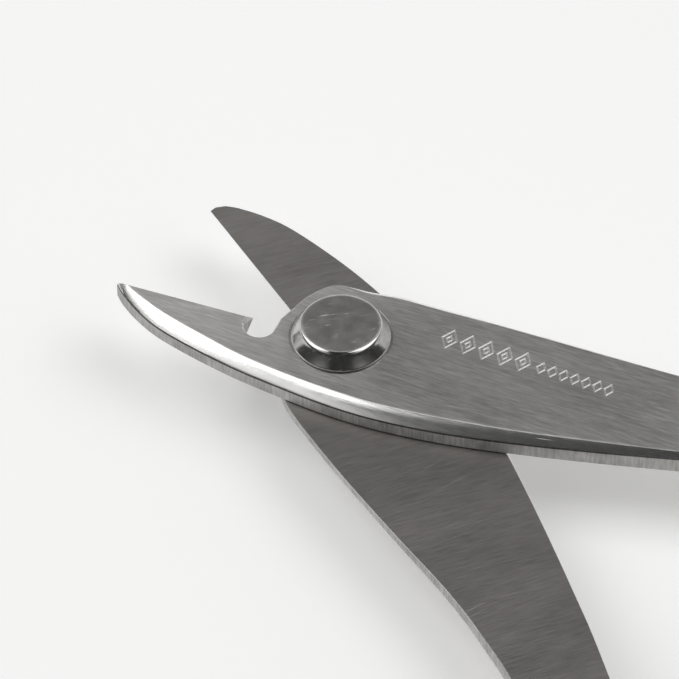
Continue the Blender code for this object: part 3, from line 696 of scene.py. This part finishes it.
softened = ["pivot_nut", "catch_lever"]
softened += [f"{side}_grip_{place}_{kind}" for side in ("upper", "lower") for place in ("front", "rear")
             for kind in ("screw", "nut")]
for node in softened:
    soft_edge = frame["nodes"][node].modifiers.new("soft_edge", "BEVEL")
    soft_edge.width = 0.1 * MM
    soft_edge.segments = 2
    soft_edge.limit_method = "ANGLE"
    soft_edge.angle_limit = math.radians(40)
    soft_edge.harden_normals = True

# Blades

for name, side, notched, face in (("upper", 1, True, face_upper), ("lower", -1, False, face_lower_painted_darker)):
    finishes = (face, chamfer_steel, wall_steel, painted_dark_line, stamp_steel)
    blade = make_blade(f"{name}_blade_ground", side, notched, *finishes)
    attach(blade, name)
    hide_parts(f"{name}_blade")

# Pivot bolt

bolt_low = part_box("pivot_bolt")[0].z - PIVOT.z
bolt_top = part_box("pivot_bolt")[1].z - PIVOT.z
threaded = [
    (0, bolt_low), (THREAD_R - THREAD_BREAK, bolt_low), (THREAD_R, bolt_low + THREAD_BREAK),
    (THREAD_R, -PLATE_TOP + 0.2 * MM),
]
shank = [(SHANK_R, -PLATE_TOP + 0.3 * MM), (SHANK_R, HEAD_SEAT)]
rim = [
    (HEAD_R - inside * MM, HEAD_SEAT + rise * MM)
    for inside, rise in ((0.09, 0), (0, 0.07), (0.01, 0.2), (0.09, 0.3))
]
lip = [
    (HEAD_FLAT_R + outside * MM, bolt_top - drop * MM)
    for outside, drop in ((0.62, 0.52), (0.5, 0.34), (0.44, 0.2), (0.34, 0.09), (0.2, 0.025), (0, 0))
]
profile = [*threaded, *shank, *rim, *lip, (0, bolt_top)]
on_side = [1] * (len(profile) - 3)
bolt = lathe("pivot_bolt_polished", profile, 128, [head_top, head_side], [*on_side, 0, 0], 40)
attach(bolt, "upper")
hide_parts("pivot_bolt")


# Grip pads and leaf springs

def pad_edge():
    """(x, y) along the middle of the pad's outer face."""
    shares = (0.10, 0.14, 0.20, 0.28, 0.36, 0.44, 0.52, 0.60, 0.66)
    wides = (0.875, 0.905, 0.945, 0.98, 0.995, 1.0, 0.99, 0.97, 0.935)
    points = []
    for share, wide in zip(shares, wides):
        x, y = grip_centre(share)
        points.append((x, y + wide * GRIP_HALF))
    return through(points, 28)


def make_pad(name, side):
    """A soft strip with shallow cross grooves, rounded at its ends."""
    edge = pad_edge()
    length = sum(math.dist(one, two) for one, two in zip(edge, edge[1:]))
    gone = 0.0
    rings = []
    for before, here, after in zip([edge[0], *edge], edge, [*edge[1:], edge[-1]]):
        gone += math.dist(before, here)
        along = (Vector(after) - Vector(before)).normalized()
        from_end = min(gone, length - gone)
        wave = math.cos(2 * math.pi * gone / RIB_EVERY)
        groove = max(0.0, wave - RIB_LAND) / (1 - RIB_LAND) * RIB_DEEP
        if from_end < RIB_EVERY:
            groove = 0.0
        ease = PAD_PROUD * (1 - min(1.0, from_end / PAD_END) ** 0.5)
        high = PAD_PROUD - groove - ease
        half = PAD_HALF_TALL - ease * 0.4
        ring = []
        for across, up_by in rounded_section(PAD_SINK + high, 2 * half, PAD_ROUND):
            out = across + (high - PAD_SINK) / 2
            ring.append((here[0] - along.y * out, here[1] + along.x * out, up_by))
        rings.append(into_place([(x, y, side * z) for x, y, z in ring], side))
    return lofted(name, rings, [rubber], sharp=60)


def leaf_path():
    """The strip's middle line from its rolled eye to its curled tip, with the nippers open."""
    x, y = grip_centre(PIN_SHARE)
    eye = turned_by((x, y - PIN_SIDE), HALF_OPEN)
    leave = math.atan2(-0.97, -0.25)
    start = (eye[0] - EYE_R * 0.25, eye[1] - EYE_R * 0.97)
    middle = LEAF / 2 + LEAF_APART
    run = (start[0] - LEAF_TIP, start[1] - middle)
    bend = [(0, 0), (0.16, 0.17), (0.40, 0.44), (0.66, 0.735), (0.86, 0.93), (0.95, 0.985), (1.0, 1.0)]
    rolled = arc(EYE_R, leave + math.radians(322), leave, 40, eye)[:-1]
    strip = through([(start[0] - along * run[0], start[1] - across * run[1]) for along, across in bend], 10)
    curl = arc(LEAF_CURL_R, -math.pi / 2, -math.pi * 1.45, 24, (LEAF_TIP, middle + LEAF_CURL_R))
    return [*rolled, *strip, *curl[1:]]


def make_leaf(name, side):
    """A flat strip on edge along its path."""
    path = leaf_path()
    rings = []
    for before, here, after in zip([path[0], *path], path, [*path[1:], path[-1]]):
        along = (Vector(after) - Vector(before)).normalized()
        rings.append([
            PIVOT + Vector((here[0] - along.y * across, side * (here[1] + along.x * across), up_by))
            for across, up_by in rounded_section(LEAF * 0.96, LEAF_WIDTH - 0.04 * MM, LEAF_ROUND)])
    return lofted(name, rings, [spring_finish])


for name, side in (("upper", 1), ("lower", -1)):
    pad = make_pad(f"{name}_pad_ribbed", side)
    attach(pad, name)
    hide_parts(f"{name}_grip_pad")
    leaf = make_leaf(f"{name}_leaf_rolled", side)
    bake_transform(leaf)
    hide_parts(f"{name}_leaf_spring")

# Floor, light and camera

floor_finish = finish_of("pale_floor", lambda start: ((0.86, 0.86, 0.86, 1), 0.6, (0, 0, 0)), 0.0, 0.2)
floor_shader = floor_finish.node_tree.nodes["Principled BSDF"]
floor_shader.inputs["Emission Color"].default_value = (1.0, 1.0, 1.0, 1)
floor_shader.inputs["Emission Strength"].default_value = FLOOR_GLOW
floor_corners = [(x * FLOOR_HALF, y * FLOOR_HALF, 0) for x, y in ((-1, -1), (1, -1), (1, 1), (-1, 1))]
floor = piece_of("floor", floor_corners, [(0, 1, 2, 3)], [floor_finish])


def towards(turn, rise):
    """The direction from the object at an azimuth and an elevation, in radians."""
    return Vector((math.sin(turn) * math.cos(rise), -math.cos(turn) * math.cos(rise), math.sin(rise)))


back = towards(AZIMUTH, ELEVATION)
right = Vector((math.cos(AZIMUTH), math.sin(AZIMUTH), 0))
up = back.cross(right)
lens = bpy.data.cameras.new("camera")
lens.sensor_width = SENSOR
lens.lens = SENSOR * DISTANCE / FIELD
lens.clip_start = 0.01
camera = bpy.data.objects.new("camera", lens)
bpy.context.scene.collection.objects.link(camera)
aim = PIVOT + Vector((0, 0, PLATE_TOP)) + right * AIM_RIGHT + up * AIM_UP
turned = Matrix((right, up, back)).transposed().to_4x4()
camera.matrix_world = Matrix.Translation(aim + back * DISTANCE) @ turned
bpy.context.scene.camera = camera


def soft_light(name, azimuth, elevation, power):
    """A soft square light aimed at the pivot, placed as the camera is, by angles in degrees."""
    lamp = bpy.data.lights.new(name, "AREA")
    lamp.shape = "RECTANGLE"
    lamp.size = LIGHT_SIZE
    lamp.size_y = LIGHT_SIZE
    lamp.energy = power
    holder = bpy.data.objects.new(name, lamp)
    bpy.context.scene.collection.objects.link(holder)
    way = towards(math.radians(azimuth), math.radians(elevation))
    facing = way.to_track_quat("Z", "Y").to_matrix().to_4x4()
    holder.matrix_world = Matrix.Translation(PIVOT + way * LIGHT_AWAY) @ facing


soft_light("right_light", 130, 60, 2.75)
soft_light("left_light", -60, 56, 2.95)

# Bright walls at both sides, a low backdrop behind, and near darkness elsewhere
world = bpy.data.worlds.new("studio")
bpy.context.scene.world = world
world.use_nodes = True
sky = Wire(world.node_tree)
direction = sky.node("TexCoord", output=0)
height = sky.node("SeparateXYZ", {}, {0: direction}, 2)
beside = sky.node("VectorMath", {"operation": "DOT_PRODUCT"}, {0: direction, 1: tuple(right)}, 1)
walls = beside.maths("ABSOLUTE", beside).limited(0.30, 0.75) * height.limited(0.15, 0.65)
behind = sky.node("VectorMath", {"operation": "DOT_PRODUCT"}, {0: direction, 1: (-back.x, -back.y, 0)}, 1)
backdrop = behind.limited(0.1, 0.5) * (1 - height.limited(0.25, 0.5))
glow = walls * 1.15 + backdrop * 0.8 + 0.05
world.node_tree.links.new(glow.socket, world.node_tree.nodes["Background"].inputs["Strength"])
world.node_tree.nodes["Background"].inputs["Color"].default_value = (1.0, 0.995, 0.985, 1)
bpy.context.scene.view_settings.view_transform = "Standard"
